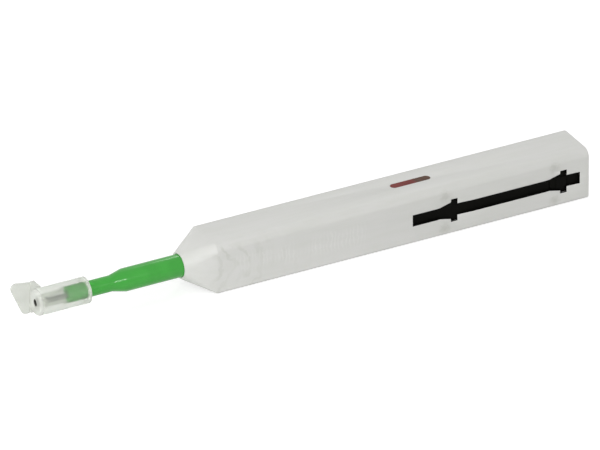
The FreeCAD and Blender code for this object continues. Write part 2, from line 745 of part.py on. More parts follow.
def cleaning_tape():
    """Tape from the full reel through the tube, round the tip and back to the take-up reel."""
    mouth = web_back + slide_gap / 2
    end = -tip_front - tape_thickness / 2
    full = supply_roll_radius + tape_thickness
    bypass = supply_roll_radius + 3 * tape_thickness
    wound = take_up_roll_radius + tape_thickness
    reach = math.hypot(supply_station - mouth, tape_offset)
    lean = math.asin(tape_offset / reach)

    def on_roll(station, radius, angle):
        return V(station + radius * math.cos(angle), 0, axis_z + radius * math.sin(angle))

    leave = math.pi - lean - math.acos(full / reach)
    points = [on_roll(supply_station, full, leave)]
    for x, side in ((mouth, 1), (end, 1), (end, -1), (mouth, -1)):
        points.append(V(x, 0, axis_z + side * tape_offset))
    begin = math.pi + lean + math.acos(bypass / reach)
    finish = math.radians(270) + math.asin((bypass - wound) / reel_spacing)
    steps = 7
    for step in range(steps + 1):
        points.append(on_roll(supply_station, bypass, begin + (finish - begin) * step / steps))
    points.append(on_roll(take_up_station, wound, finish))
    return ribbon(points, tape_thickness, tape_width)


# ---- guide cap ----------------------------------------------------------------------------------
def guide_cap():
    """Frosted cap with the ferrule hole and the fixed ear of its lid."""
    chamber_back = -cap_back - cap_grip_depth
    grip = nozzle_neck_radius + running_gap
    cap = turned_x([
        (-cap_front, cap_hole_radius), (-cap_front, cap_radius), (-cap_back, cap_radius),
        (-cap_back, grip + cap_mouth_chamfer), (-cap_back - cap_mouth_chamfer, grip),
        (chamber_back, grip), (chamber_back, cap_chamber_radius),
        (cap_front_wall - cap_front, cap_chamber_radius),
        (cap_front_wall - cap_front, cap_hole_radius)])
    face = -cap_front
    rim = [e for e in cap.Edges if e.BoundBox.XMax < face + 0.01 and e.BoundBox.YMax > cap_radius - 0.1]
    cap = cap.makeFillet(cap_edge_radius, rim)
    half = lid_thickness / 2
    ear = prism_y([(face, lid_low), (face, lid_root_high), (face + ear_depth_top, lid_root_high),
                   (face + ear_depth_bottom, lid_root_high - ear_chamfer),
                   (face + ear_depth_bottom, lid_low)], lid_offset - half, lid_offset + half)
    return cap.fuse(ear)


def cap_lid():
    """Rounded plate that swings across the ferrule hole."""
    half = lid_thickness / 2
    plate = prism_y([(hinge_x, lid_low), (hinge_x, lid_root_high),
                     (-cap_front - lid_reach_top, axis_z + lid_rise),
                     (-cap_front - lid_reach_bottom, lid_low)], lid_offset - half, lid_offset + half)
    free = [e for e in plate.Edges if abs(e.Vertexes[0].Y - e.Vertexes[1].Y) > half
            and e.Vertexes[0].X < hinge_x - 1]
    plate = plate.makeFillet(lid_corner_radius, free)
    pin = Part.makeCylinder(half, lid_root_high - lid_low, V(hinge_x, lid_offset, lid_low))
    return plate.fuse(pin)


# ---- output -------------------------------------------------------------------------------------
NODES = {
    "outer_sleeve": outer_sleeve,
    "rear_plug": rear_plug,
    "window_pane": window_pane,
    "chassis_frame": chassis_frame,
    "chassis_cover": chassis_cover,
    "cover_screws": cover_screws,
    "feed_rack": feed_rack,
    "cam_pin": cam_pin,
    "latch_button": latch_button,
    "latch_spring": latch_spring,
    "shuttle_frame": shuttle_frame,
    "nozzle": nozzle,
    "supply_axle": lambda: axle(supply_station),
    "take_up_axle": lambda: axle(take_up_station),
    "return_spring": return_spring,
    "supply_reel": lambda: reel(supply_station),
    "supply_tape": lambda: tape_roll(supply_station, supply_roll_radius),
    "take_up_reel": lambda: reel(take_up_station),
    "take_up_tape": lambda: tape_roll(take_up_station, take_up_roll_radius),
    "drive_gear": drive_gear,
    "cam_shaft": cam_shaft,
    "feed_tube": feed_tube,
    "tube_collar": tube_collar,
    "cleaning_tip": cleaning_tip,
    "tip_spring": tip_spring,
    "cleaning_tape": cleaning_tape,
    "guide_cap": guide_cap,
    "cap_lid": cap_lid,
}

os.makedirs("parts", exist_ok=True)
solids = {name: make() for name, make in NODES.items()}
pen_middle = (solids["cap_lid"].BoundBox.XMin + body_length) / 2
for name, solid in solids.items():
    solid.translate(V(-pen_middle, 0, 0))
    solid.exportStep("parts/" + name + ".step")
    print(name, "valid", solid.isValid(), "solids", len(solid.Solids), "mm3", round(solid.Volume, 2))
print("nose base at", -pen_middle)
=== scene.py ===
"""Push-type cleaning pen for 2.5 mm fibre ferrules: finishes, fine pieces, studio and camera.

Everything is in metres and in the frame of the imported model: the pen lies along X with its tip
toward -X, the latch slot faces -Y and the window faces +Z.
"""

import logging
import math
from dataclasses import dataclass
from enum import Enum

import bmesh
import bpy
from mathutils import Matrix, Vector


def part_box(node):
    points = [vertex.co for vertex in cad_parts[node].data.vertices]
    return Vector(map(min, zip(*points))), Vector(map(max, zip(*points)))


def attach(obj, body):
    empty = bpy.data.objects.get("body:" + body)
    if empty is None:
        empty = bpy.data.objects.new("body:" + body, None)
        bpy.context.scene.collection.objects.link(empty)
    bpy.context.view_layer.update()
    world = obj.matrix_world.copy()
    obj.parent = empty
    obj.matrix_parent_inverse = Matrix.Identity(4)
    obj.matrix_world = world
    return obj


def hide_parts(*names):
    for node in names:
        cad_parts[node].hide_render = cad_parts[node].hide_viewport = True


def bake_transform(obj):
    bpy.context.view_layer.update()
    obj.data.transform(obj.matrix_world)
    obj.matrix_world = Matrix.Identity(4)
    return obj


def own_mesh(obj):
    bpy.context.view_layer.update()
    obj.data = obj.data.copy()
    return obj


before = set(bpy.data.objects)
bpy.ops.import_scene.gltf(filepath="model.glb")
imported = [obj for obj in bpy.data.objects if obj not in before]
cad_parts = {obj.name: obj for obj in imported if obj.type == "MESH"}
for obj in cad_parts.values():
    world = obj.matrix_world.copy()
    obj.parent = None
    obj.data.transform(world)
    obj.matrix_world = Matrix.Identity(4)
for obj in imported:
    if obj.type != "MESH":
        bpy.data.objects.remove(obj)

LOG = logging.getLogger("cleaning_pen")
MM = 0.001
MERGE_DISTANCE = 2e-6
SLIVER = 1e-6
FLAT_TURN = math.radians(0.4)
EDGE_TURN = math.radians(28.0)
Colour = tuple[float, float, float]
Socket = bpy.types.NodeSocket


class Axis(Enum):
    """Axis that a spring lies along."""

    X = (1.0, 0.0, 0.0)
    Y = (0.0, 1.0, 0.0)


# ---- shader building ---------------------------------------------------------------------------
class Tree:
    """Short way to add and join nodes in one shader or geometry tree."""

    def __init__(self, tree: bpy.types.NodeTree) -> None:
        """Keeps the tree.

        Args:
            tree: Node tree to fill.
        """
        self.tree = tree

    def add(self, kind: str, inputs: dict[str | int, object] | None = None,
            **settings: object) -> bpy.types.Node:
        """Adds one node.

        Args:
            kind: Blender's type name of the node.
            inputs: Socket name or index to a value, or to the output that feeds it.
            **settings: Attributes of the node itself.

        Returns:
            The new node.
        """
        node = self.tree.nodes.new(kind)
        for name, value in settings.items():
            setattr(node, name, value)
        for key, value in (inputs or {}).items():
            if isinstance(value, Socket):
                self.tree.links.new(value, node.inputs[key])
            else:
                node.inputs[key].default_value = value
        return node

    def place(self) -> Socket:
        """Adds the point on the piece, in object coordinates, and returns its output."""
        return self.add("ShaderNodeTexCoord").outputs["Object"]

    def math(self, operation: str, *values: float | Socket) -> Socket:
        """Adds a Math node and returns its output.

        Args:
            operation: Blender's name of the operation.
            *values: Numbers or outputs for its inputs.

        Returns:
            The result's socket.
        """
        return self.add("ShaderNodeMath", dict(enumerate(values)), operation=operation).outputs[0]

    def ramp(self, value: Socket, low: float | Socket, high: float | Socket, start: float = 0.0,
             end: float = 1.0, smooth: bool = True) -> Socket:
        """Maps a value from one range to another, held at both ends.

        Args:
            value: Output to map.
            low: Value that gives start.
            high: Value that gives end.
            start: Result at low.
            end: Result at high.
            smooth: Whether the map eases in and out.

        Returns:
            The result's socket.
        """
        kind = "SMOOTHSTEP" if smooth else "LINEAR"
        node = self.add("ShaderNodeMapRange", {0: value, 1: low, 2: high, 3: start, 4: end},
                        interpolation_type=kind)
        return node.outputs[0]

    def fade(self, value: Socket, low: float | Socket, high: float | Socket) -> Socket:
        """Falls smoothly from 1 to 0, held at both ends.

        Args:
            value: Output to map.
            low: Value that gives 1.
            high: Value that gives 0.

        Returns:
            The result's socket.
        """
        return self.math("SUBTRACT", 1.0, self.ramp(value, low, high))

    def blend(self, factor: float | Socket, first: Colour | Socket, second: Colour | Socket) -> Socket:
        """Mixes two colours.

        Args:
            factor: Share of the second colour.
            first: Colour or output.
            second: Colour or output.

        Returns:
            The mixed colour's socket.
        """
        node = self.add("ShaderNodeMix", {"Factor": factor}, data_type="RGBA")
        for socket, value in ((node.inputs[6], first), (node.inputs[7], second)):
            if isinstance(value, Socket):
                self.tree.links.new(value, socket)
            else:
                socket.default_value = (*value, 1.0)
        return node.outputs[2]

    def group(self, source: bpy.types.NodeTree, inputs: dict[str, float | Socket]) -> bpy.types.Node:
        """Places a node group.

        Args:
            source: The group's tree.
            inputs: Its input names to values or outputs.

        Returns:
            The group node.
        """
        return self.add("ShaderNodeGroup", inputs, node_tree=source)

    def seen(self) -> Socket:
        """Marks the rays that reach the eye straight, off gloss or through clear plastic.

        Returns:
            A socket that is 1 for those rays and 0 for others.
        """
        path = self.add("ShaderNodeLightPath").outputs
        shown = self.math("MAXIMUM", path["Is Camera Ray"], path["Is Glossy Ray"])
        return self.math("MAXIMUM", shown, path["Is Transmission Ray"])


def new_group(name: str, inputs: dict[str, float],
              outputs: dict[str, str]) -> tuple[Tree, bpy.types.Node, bpy.types.Node]:
    """Starts a shader node group.

    Args:
        name: The group's name.
        inputs: Float inputs with their defaults.
        outputs: Output names with their socket types.

    Returns:
        The tree, its input node and its output node.
    """
    group = bpy.data.node_groups.new(name, "ShaderNodeTree")
    for label, value in inputs.items():
        socket = group.interface.new_socket(label, in_out="INPUT", socket_type="NodeSocketFloat")
        socket.default_value = value
    for label, kind in outputs.items():
        group.interface.new_socket(label, in_out="OUTPUT", socket_type=kind)
    return Tree(group), group.nodes.new("NodeGroupInput"), group.nodes.new("NodeGroupOutput")


def grain_group() -> bpy.types.NodeTree:
    """Builds the fine skin of a moulded or ground surface.

    Returns:
        A group that puts out a height, a soft mottle from 0 to 1 and a roughness.
    """
    tree, source, sink = new_group(
        "Surface Grain",
        {"Fine Scale": 6000.0, "Coarse Scale": 120.0, "Roughness": 0.4, "Spread": 0.06},
        {"Height": "NodeSocketFloat", "Mottle": "NodeSocketFloat", "Roughness": "NodeSocketFloat"})
    place = tree.place()
    fine = tree.add("ShaderNodeTexNoise", {"Vector": place, "Scale": source.outputs["Fine Scale"],
                                           "Detail": 3.0, "Roughness": 0.6})
    coarse = tree.add("ShaderNodeTexNoise", {"Vector": place, "Detail": 2.0,
                                             "Scale": source.outputs["Coarse Scale"]})
    mottle = tree.ramp(coarse.outputs[0], 0.3, 0.7)
    offset = tree.math("MULTIPLY", tree.math("SUBTRACT", mottle, 0.5), source.outputs["Spread"])
    links = tree.tree.links
    links.new(fine.outputs[0], sink.inputs["Height"])
    links.new(mottle, sink.inputs["Mottle"])
    links.new(tree.math("ADD", source.outputs["Roughness"], offset), sink.inputs["Roughness"])
    return tree.tree


def side_skin(tree: Tree, across: Socket, side: Socket) -> Socket:
    """Masks the skin of one side.

    Args:
        tree: Tree to add to.
        across: Y of the point.
        side: Y of the side.

    Returns:
        A socket that is 1 on the side and 0 from a little below it on.
    """
    return tree.fade(tree.math("SUBTRACT", across, side), 0.2 * MM, 1.2 * MM)


def flow_group() -> bpy.types.NodeTree:
    """Builds the crescents that melt leaves beside the gate of a long moulding.

    Returns:
        A group that puts out two masks from 0 to 1: the crescents near the nose, and the fine
        upright streaks that follow them.
    """
    flattening = 2.2
    wander_length = 11 * MM
    crescents_start = 6 * MM
    streaks_start = 12 * MM
    streaks_full = 22 * MM
    streaks_end = 75 * MM
    tree, source, sink = new_group(
        "Flow Marks",
        {"Gate X": 0.0, "Gate Z": 0.0, "Spacing": 5 * MM, "Reach": 60 * MM, "Side Y": -9.5 * MM},
        {"Crescents": "NodeSocketFloat", "Streaks": "NodeSocketFloat"})
    reach = source.outputs["Reach"]
    place = tree.place()
    drift = tree.add("ShaderNodeTexNoise", {"Vector": place, "Scale": 140.0, "Detail": 3.0,
                                            "Roughness": 0.6})
    parts = tree.add("ShaderNodeSeparateXYZ", {0: place})
    along = tree.math("SUBTRACT", parts.outputs["X"], source.outputs["Gate X"])
    height = tree.math("SUBTRACT", parts.outputs["Z"], source.outputs["Gate Z"])
    rise = tree.math("MULTIPLY", height, tree.math("MULTIPLY", height, flattening))
    span = tree.math("SQRT", tree.math("ADD", tree.math("MULTIPLY", along, along), rise))
    wander = tree.math("MULTIPLY", drift.outputs[0], wander_length)
    turns = tree.math("DIVIDE", tree.math("ADD", span, wander), source.outputs["Spacing"])
    wave = tree.math("SINE", tree.math("MULTIPLY", turns, 2 * math.pi))
    ridges = tree.ramp(wave, 0.2, 0.95)
    patches = tree.add("ShaderNodeTexNoise", {"Vector": place, "Scale": 90.0})
    patch = tree.math("MULTIPLY", side_skin(tree, parts.outputs["Y"], source.outputs["Side Y"]),
                      tree.ramp(patches.outputs[0], 0.35, 0.65))
    crescents = tree.math("MULTIPLY", ridges, tree.fade(along, crescents_start, reach))
    band = tree.add("ShaderNodeTexWave", {"Vector": place, "Scale": 210.0, "Distortion": 5.0,
                                          "Detail": 2.0, "Detail Scale": 1.5}, bands_direction="X")
    start = tree.ramp(along, streaks_start, streaks_full)
    stretch = tree.math("MULTIPLY", start, tree.fade(along, reach, streaks_end))
    middle = tree.fade(tree.math("ABSOLUTE", height), 1 * MM, 6 * MM)
    field = tree.math("MULTIPLY", stretch, tree.math("MULTIPLY", middle, patch))
    streaks = tree.math("MULTIPLY", tree.ramp(band.outputs["Fac"], 0.5, 0.95), field)
    links = tree.tree.links
    links.new(tree.math("MULTIPLY", crescents, patch), sink.inputs["Crescents"])
    links.new(streaks, sink.inputs["Streaks"])
    return tree.tree


def shade_spot_group() -> bpy.types.NodeTree:
    """Builds the faint painted shade spots above and below a cross of the slot, standing in for the
    shading of the shallow dish there.

    Returns:
        A group that puts out a mask from 0 to 1.
    """
    ragged_edge = 3 * MM
    tree, source, sink = new_group(
        "Painted Shade Spots",
        {"Centre X": 0.0, "Centre Z": 0.0, "Offset": 6.4 * MM, "Radius": 3 * MM, "Side Y": -9.5 * MM},
        {"Mask": "NodeSocketFloat"})
    place = tree.place()
    parts = tree.add("ShaderNodeSeparateXYZ", {0: place})
    along = tree.math("SUBTRACT", parts.outputs["X"], source.outputs["Centre X"])
    height = tree.math("SUBTRACT", parts.outputs["Z"], source.outputs["Centre Z"])
    rise = tree.math("SUBTRACT", tree.math("ABSOLUTE", height), source.outputs["Offset"])
    span = tree.math("SQRT", tree.math("ADD", tree.math("MULTIPLY", along, along),
                                       tree.math("MULTIPLY", rise, rise)))
    cloud = tree.add("ShaderNodeTexNoise", {"Vector": place, "Scale": 1100.0, "Detail": 2.0})
    edge = tree.math("MULTIPLY", tree.math("SUBTRACT", cloud.outputs[0], 0.5), ragged_edge)
    # Painted shade: a soft ragged spot at the offset above and below the cross, darkening the colour.
    shade_spot = tree.fade(tree.math("ADD", span, edge), 0.0, source.outputs["Radius"])
    beside = side_skin(tree, parts.outputs["Y"], source.outputs["Side Y"])
    tree.tree.links.new(tree.math("MULTIPLY", shade_spot, beside), sink.inputs["Mask"])
    return tree.tree


def weave_group() -> bpy.types.NodeTree:
    """Builds the fine over-and-under weave of cleaning tape.

    Returns:
        A group that puts out a height and a shade from 0 to 1.
    """
    tree, source, sink = new_group("Tape Weave", {"Pitch": 0.25 * MM},
                                   {"Height": "NodeSocketFloat", "Shade": "NodeSocketFloat"})
    place = tree.place()
    parts = tree.add("ShaderNodeSeparateXYZ", {0: place})
    wraps = []
    for label in ("X", "Y", "Z"):
        turns = tree.math("DIVIDE", parts.outputs[label], source.outputs["Pitch"])
        wraps.append(tree.math("SINE", tree.math("MULTIPLY", turns, 2 * math.pi)))
    cross = tree.math("MULTIPLY", tree.math("ADD", wraps[0], wraps[2]), wraps[1])
    height = tree.ramp(cross, -1.0, 1.0)
    fray = tree.add("ShaderNodeTexNoise", {"Vector": place, "Scale": 2500.0, "Detail": 2.0})
    shade = tree.math("MULTIPLY", height, tree.ramp(fray.outputs[0], 0.2, 0.8, 0.7, 1.0))
    tree.tree.links.new(height, sink.inputs["Height"])
    tree.tree.links.new(shade, sink.inputs["Shade"])
    return tree.tree


@dataclass(frozen=True)
class Groups:
    """The shader groups that the finishes share."""

    grain: bpy.types.NodeTree
    flow: bpy.types.NodeTree
    shade_spots: bpy.types.NodeTree
    weave: bpy.types.NodeTree


@dataclass(frozen=True)
class Plastic:
    """Plain moulded plastic with a fine skin and slight mottling."""

    name: str
    light: Colour
    dark: Colour
    roughness: float = 0.35
    spread: float = 0.08
    grain_depth: float = 0.05
    fine_scale: float = 5000.0
    coarse_scale: float = 160.0
    specular: float = 0.5

    def build(self, groups: Groups) -> bpy.types.Material:
        """Makes the material.

        Args:
            groups: The shared shader groups.

        Returns:
            The new material.
        """
        material, tree, surface = start_material(self.name)
        grain = tree.group(groups.grain, {
            "Fine Scale": self.fine_scale, "Coarse Scale": self.coarse_scale,
            "Roughness": self.roughness, "Spread": self.spread})
        colour = tree.blend(grain.outputs["Mottle"], self.dark, self.light)
        bump = tree.add("ShaderNodeBump", {"Strength": self.grain_depth, "Distance": 0.1 * MM,
                                           "Height": grain.outputs["Height"]})
        wire(tree, surface, {"Base Color": colour, "Roughness": grain.outputs["Roughness"],
                             "Normal": bump.outputs[0]})
        surface.inputs["Specular IOR Level"].default_value = self.specular
        return material


@dataclass(frozen=True)
class MilkyPlastic:
    """Milky sleeve plastic with flow marks beside the nose and painted shade spots by the slot's
    crosses.
    """

    name: str = "milky_plastic"
    light: Colour = (0.655, 0.655, 0.635)
    dark: Colour = (0.625, 0.630, 0.600)
    mark: Colour = (0.540, 0.550, 0.505)
    streak: Colour = (0.720, 0.725, 0.700)
    shade_spot: Colour = (0.420, 0.425, 0.380)
    roughness: float = 0.5
    specular: float = 0.2
    skin_depth: float = 0.04
    mark_depth: float = 0.2
    crescent_share: float = 0.6
    streak_share: float = 0.45
    shade_spot_share: float = 0.42
    crescent_spacing: float = 5.2 * MM
    mark_reach: float = 62 * MM
    cloud_stretch: float = 0.12
    scatter_share: float = 0.15
    scatter_depth: float = 1.2 * MM

    def build(self, groups: Groups, gate: Vector, side: float,
              crosses: list[Vector]) -> bpy.types.Material:
        """Makes the material.

        Args:
            groups: The shared shader groups.
            gate: Point by the nose that the flow marks spread from.
            side: Y of the side that shows them.
            crosses: Middles of the slot's crosses.

        Returns:
            The new material.
        """
        material, tree, surface = start_material(self.name)
        grain = tree.group(groups.grain, {"Fine Scale": 3500.0, "Coarse Scale": 70.0,
                                          "Roughness": self.roughness, "Spread": 0.1})
        flow = tree.group(groups.flow, {
            "Gate X": gate.x, "Gate Z": gate.z, "Spacing": self.crescent_spacing,
            "Reach": self.mark_reach, "Side Y": side})
        drawn = tree.add("ShaderNodeMapping", {"Vector": tree.place(),
                                               "Scale": (self.cloud_stretch, 1.0, 1.0)})
        clouds = tree.add("ShaderNodeTexNoise", {"Vector": drawn.outputs[0], "Scale": 420.0,
                                                 "Detail": 3.0})
        share = tree.math("MULTIPLY", 0.5, tree.math("ADD", grain.outputs["Mottle"],
                                                     tree.ramp(clouds.outputs[0], 0.35, 0.65)))
        colour = tree.blend(share, self.dark, self.light)
        crescents = tree.math("MULTIPLY", flow.outputs["Crescents"], self.crescent_share)
        colour = tree.blend(crescents, colour, self.mark)
        streaks = tree.math("MULTIPLY", flow.outputs["Streaks"], self.streak_share)
        colour = tree.blend(streaks, colour, self.streak)
        # Painted shade: darker spots above and below each cross stand in for the shading of the shallow
        # dishes there.
        for cross in crosses:
            shade_spots = tree.group(groups.shade_spots, {"Centre X": cross.x, "Centre Z": cross.z, "Side Y": side})
            share = tree.math("MULTIPLY", shade_spots.outputs["Mask"], self.shade_spot_share)
            colour = tree.blend(share, colour, self.shade_spot)
        skin = tree.add("ShaderNodeBump", {"Strength": self.skin_depth, "Distance": 0.1 * MM,
                                           "Height": grain.outputs["Height"]})
        ripple = tree.add("ShaderNodeBump", {
            "Strength": self.mark_depth, "Distance": 0.1 * MM,
            "Height": flow.outputs["Crescents"], "Normal": skin.outputs[0]})
        wire(tree, surface, {"Base Color": colour, "Roughness": grain.outputs["Roughness"],
                             "Normal": ripple.outputs[0]})
        surface.inputs["Subsurface Weight"].default_value = self.scatter_share
        surface.inputs["Subsurface Radius"].default_value = (1.0, 1.0, 0.9)
        surface.inputs["Subsurface Scale"].default_value = self.scatter_depth
        surface.inputs["Specular IOR Level"].default_value = self.specular
        return material


@dataclass(frozen=True)
class FrostedPlastic:
    """Frosted see-through plastic of the guide cap and its lid."""

    name: str
    clearness: float
    light: Colour
    dark: Colour
    roughness: float
    bend: float = 1.04
    skin_depth: float = 0.02
    shadow: float = 0.1

    def build(self, groups: Groups) -> bpy.types.Material:
        """Makes the material.

        Args:
            groups: The shared shader groups.

        Returns:
            The new material.
        """
        material, tree, surface = start_material(self.name)
        grain = tree.group(groups.grain, {"Fine Scale": 4500.0, "Coarse Scale": 260.0,
                                          "Roughness": self.roughness, "Spread": 0.12})
        colour = tree.blend(grain.outputs["Mottle"], self.dark, self.light)
        bump = tree.add("ShaderNodeBump", {"Strength": self.skin_depth, "Distance": 0.1 * MM,
                                           "Height": grain.outputs["Height"]})
        lamp = tree.add("ShaderNodeLightPath").outputs["Is Shadow Ray"]
        wire(tree, surface, {"Base Color": colour, "Roughness": grain.outputs["Roughness"],
                             "Normal": bump.outputs[0],
                             "Alpha": tree.ramp(lamp, 0.0, 1.0, 1.0, self.shadow)})
        surface.inputs["Transmission Weight"].default_value = self.clearness
        surface.inputs["IOR"].default_value = self.bend
        return material


@dataclass(frozen=True)
class TintedPane:
    """Window pane whose tint turns from red to brown along the pen."""

    name: str = "tinted_pane"
    red: Colour = (0.185, 0.026, 0.022)
    brown: Colour = (0.105, 0.050, 0.032)
    smoke: Colour = (0.03, 0.015, 0.012)
    smoke_share: float = 0.3
    specular: float = 0.1

    def build(self, groups: Groups, turn: float, spread: float) -> bpy.types.Material:
        """Makes the material.

        Args:
            groups: The shared shader groups.
            turn: X at which the tint is half way.
            spread: Half length of the change.

        Returns:
            The new material.
        """
        material, tree, surface = start_material(self.name)
        grain = tree.group(groups.grain, {"Fine Scale": 3000.0, "Coarse Scale": 500.0,
                                          "Roughness": 0.45, "Spread": 0.1})
        parts = tree.add("ShaderNodeSeparateXYZ", {0: tree.place()})
        sway = tree.math("MULTIPLY", tree.math("SUBTRACT", grain.outputs["Mottle"], 0.5), spread)
        share = tree.ramp(tree.math("ADD", parts.outputs["X"], sway), turn - spread, turn + spread)
        tint = tree.blend(share, self.red, self.brown)
        smoke = tree.math("MULTIPLY", grain.outputs["Mottle"], self.smoke_share)
        shade = tree.blend(smoke, tint, self.smoke)
        wire(tree, surface, {"Base Color": shade, "Roughness": grain.outputs["Roughness"]})
        surface.inputs["Specular IOR Level"].default_value = self.specular
        return material


@dataclass(frozen=True)
class Steel:
    """Bright steel with fine drawing lines."""

    name: str
    shade: Colour = (0.55, 0.55, 0.56)
    roughness: float = 0.28
    stretch: tuple[float, float, float] = (0.02, 1.0, 1.0)
    dulling: float = 0.8

    def build(self, groups: Groups) -> bpy.types.Material:
        """Makes the material.

        Args:
            groups: The shared shader groups.

        Returns:
            The new material.
        """
        material, tree, surface = start_material(self.name)
        grain = tree.group(groups.grain, {"Fine Scale": 9000.0, "Coarse Scale": 400.0,
                                          "Roughness": self.roughness, "Spread": 0.12})
        drawn = tree.add("ShaderNodeMapping", {"Vector": tree.place(), "Scale": self.stretch})
        lines = tree.add("ShaderNodeTexNoise", {"Vector": drawn.outputs[0], "Scale": 9000.0,
                                                "Detail": 2.0})
        dull = tuple(self.dulling * part for part in self.shade)
        colour = tree.blend(lines.outputs[0], dull, self.shade)
        bump = tree.add("ShaderNodeBump", {"Strength": 0.06, "Distance": 0.05 * MM,
                                           "Height": lines.outputs[0]})
        wire(tree, surface, {"Base Color": colour, "Roughness": grain.outputs["Roughness"],
                             "Normal": bump.outputs[0]})
        surface.inputs["Metallic"].default_value = 1.0
        return material


@dataclass(frozen=True)
class WovenTape:
    """Fine woven cleaning tape."""

    name: str
    light: Colour
    dark: Colour
    pitch: float = 0.25 * MM

    def build(self, groups: Groups) -> bpy.types.Material:
        """Makes the material.

        Args:
            groups: The shared shader groups.

        Returns:
            The new material.
        """
        material, tree, surface = start_material(self.name)
        weave = tree.group(groups.weave, {"Pitch": self.pitch})
        colour = tree.blend(weave.outputs["Shade"], self.dark, self.light)
        bump = tree.add("ShaderNodeBump", {"Strength": 0.5, "Distance": 0.05 * MM,
                                           "Height": weave.outputs["Height"]})
        wire(tree, surface, {"Base Color": colour, "Normal": bump.outputs[0]})
        surface.inputs["Roughness"].default_value = 0.75
        surface.inputs["Sheen Weight"].default_value = 0.2
        return material


def start_material(name: str) -> tuple[bpy.types.Material, Tree, bpy.types.Node]:
    """Makes an empty node material.

    Args:
        name: The material's name.

    Returns:
        The material, its tree and its Principled BSDF.
    """
    material = bpy.data.materials.new(name)
    material.use_nodes = True
    tree = Tree(material.node_tree)
    return material, tree, material.node_tree.nodes["Principled BSDF"]


def wire(tree: Tree, surface: bpy.types.Node, sources: dict[str, Socket]) -> None:
    """Joins outputs to the shader's sockets.

    Args:
        tree: The material's tree.
        surface: Its Principled BSDF.
        sources: Socket names to the outputs that feed them.
    """
    for name, output in sources.items():
        tree.tree.links.new(output, surface.inputs[name])


# ---- mesh helpers ------------------------------------------------------------------------------
def dress(node: str, material: bpy.types.Material) -> None:
    """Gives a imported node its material.

    Args:
        node: Name of the node.
        material: Its finish.
    """
    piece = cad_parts[node]
    piece.data.materials.clear()
    piece.data.materials.append(material)
    LOG.info("dressed %s with %s", node, material.name)


def finish_mesh(piece: bpy.types.Object, body: str, replaced: str) -> None:
    """Lets a finished piece ride and stand for its node.

    Args:
        piece: The piece, with its place in its mesh.
        body: Body that it moves with.
        replaced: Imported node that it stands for.
    """
    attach(piece, body)
    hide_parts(replaced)
    LOG.info("made %s on %s, %d faces", piece.name, body, len(piece.data.polygons))


def applied(piece: bpy.types.Object, name: str) -> bpy.types.Object:
    """Turns a piece with modifiers into a plain mesh object at the origin.

    Args:
        piece: Object to evaluate. It is removed.
        name: Name of the new object.

    Returns:
        The plain object.
    """
    graph = bpy.context.evaluated_depsgraph_get()
    mesh = bpy.data.meshes.new_from_object(piece.evaluated_get(graph), depsgraph=graph)
    bpy.data.objects.remove(piece)
    plain = bpy.data.objects.new(name, mesh)
    bpy.context.scene.collection.objects.link(plain)
    return plain


def eased_copy(node: str, material: bpy.types.Material, width: float) -> bpy.types.Object:
    """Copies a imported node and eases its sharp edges.

    Args:
        node: The node to copy.
        material: Finish of the copy.
        width: Width of the eased edge, in metres.

    Returns:
        The eased piece, not yet riding on a body.
    """
    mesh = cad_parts[node].data.copy()
    work = bmesh.new()
    work.from_mesh(mesh)
    bmesh.ops.remove_doubles(work, verts=work.verts, dist=MERGE_DISTANCE)
    bmesh.ops.dissolve_degenerate(work, edges=work.edges, dist=SLIVER)
    bmesh.ops.dissolve_limit(work, angle_limit=FLAT_TURN, verts=work.verts, edges=work.edges)
    work.to_mesh(mesh)
    work.free()
    mesh.materials.clear()
    mesh.materials.append(material)
    for face in mesh.polygons:
        face.use_smooth = True
        face.material_index = 0
    piece = bpy.data.objects.new(node + "_raw", mesh)
    bpy.context.scene.collection.objects.link(piece)
    bevel = piece.modifiers.new("edges", "BEVEL")
    bevel.width = width
    bevel.segments = 3
    bevel.limit_method = "ANGLE"
    bevel.angle_limit = EDGE_TURN
    piece.modifiers.new("triangles", "TRIANGULATE")
    plain = applied(piece, node + "_eased")
    plain.data.set_sharp_from_angle(angle=EDGE_TURN)
    return plain


def coil_tree() -> bpy.types.NodeTree:
    """Builds the Geometry Nodes tree of a coil spring along Z, from 0 up.

    Returns:
        The tree, with the spring's sizes and its material as inputs.
    """
    tree = bpy.data.node_groups.new("Coil Spring", "GeometryNodeTree")
    tree.interface.new_socket("Geometry", in_out="INPUT", socket_type="NodeSocketGeometry")
    for label, value in (("Mean Radius", 3 * MM), ("Wire Radius", 0.3 * MM), ("Turns", 7.0),
                         ("Length", 26 * MM)):
        socket = tree.interface.new_socket(label, in_out="INPUT", socket_type="NodeSocketFloat")
        socket.default_value = value
    tree.interface.new_socket("Finish", in_out="INPUT", socket_type="NodeSocketMaterial")
    tree.interface.new_socket("Geometry", in_out="OUTPUT", socket_type="NodeSocketGeometry")
    build = Tree(tree)
    source = tree.nodes.new("NodeGroupInput").outputs
    wire_width = build.math("MULTIPLY", source["Wire Radius"], 2.0)
    rise = build.math("SUBTRACT", source["Length"], wire_width)
    helix = build.add("GeometryNodeCurveSpiral", {
        "Resolution": 40, "Rotations": source["Turns"], "Start Radius": source["Mean Radius"],
        "End Radius": source["Mean Radius"], "Height": rise})
    ring = build.add("GeometryNodeCurvePrimitiveCircle", {"Resolution": 12,
                                                          "Radius": source["Wire Radius"]})
    tube = build.add("GeometryNodeCurveToMesh", {"Curve": helix.outputs[0],
                                                 "Profile Curve": ring.outputs[0], "Fill Caps": True})
    lift = build.add("ShaderNodeCombineXYZ", {"Z": source["Wire Radius"]})
    moved = build.add("GeometryNodeTransform", {"Geometry": tube.outputs[0],
                                                "Translation": lift.outputs[0]})
    smooth = build.add("GeometryNodeSetShadeSmooth", {"Geometry": moved.outputs[0]})
    whole = build.add("GeometryNodeRealizeInstances", {"Geometry": smooth.outputs[0]})
    painted = build.add("GeometryNodeSetMaterial", {"Geometry": whole.outputs[0],
                                                    "Material": source["Finish"]})
    sink = tree.nodes.new("NodeGroupOutput")
    tree.links.new(painted.outputs[0], sink.inputs[0])
    return tree


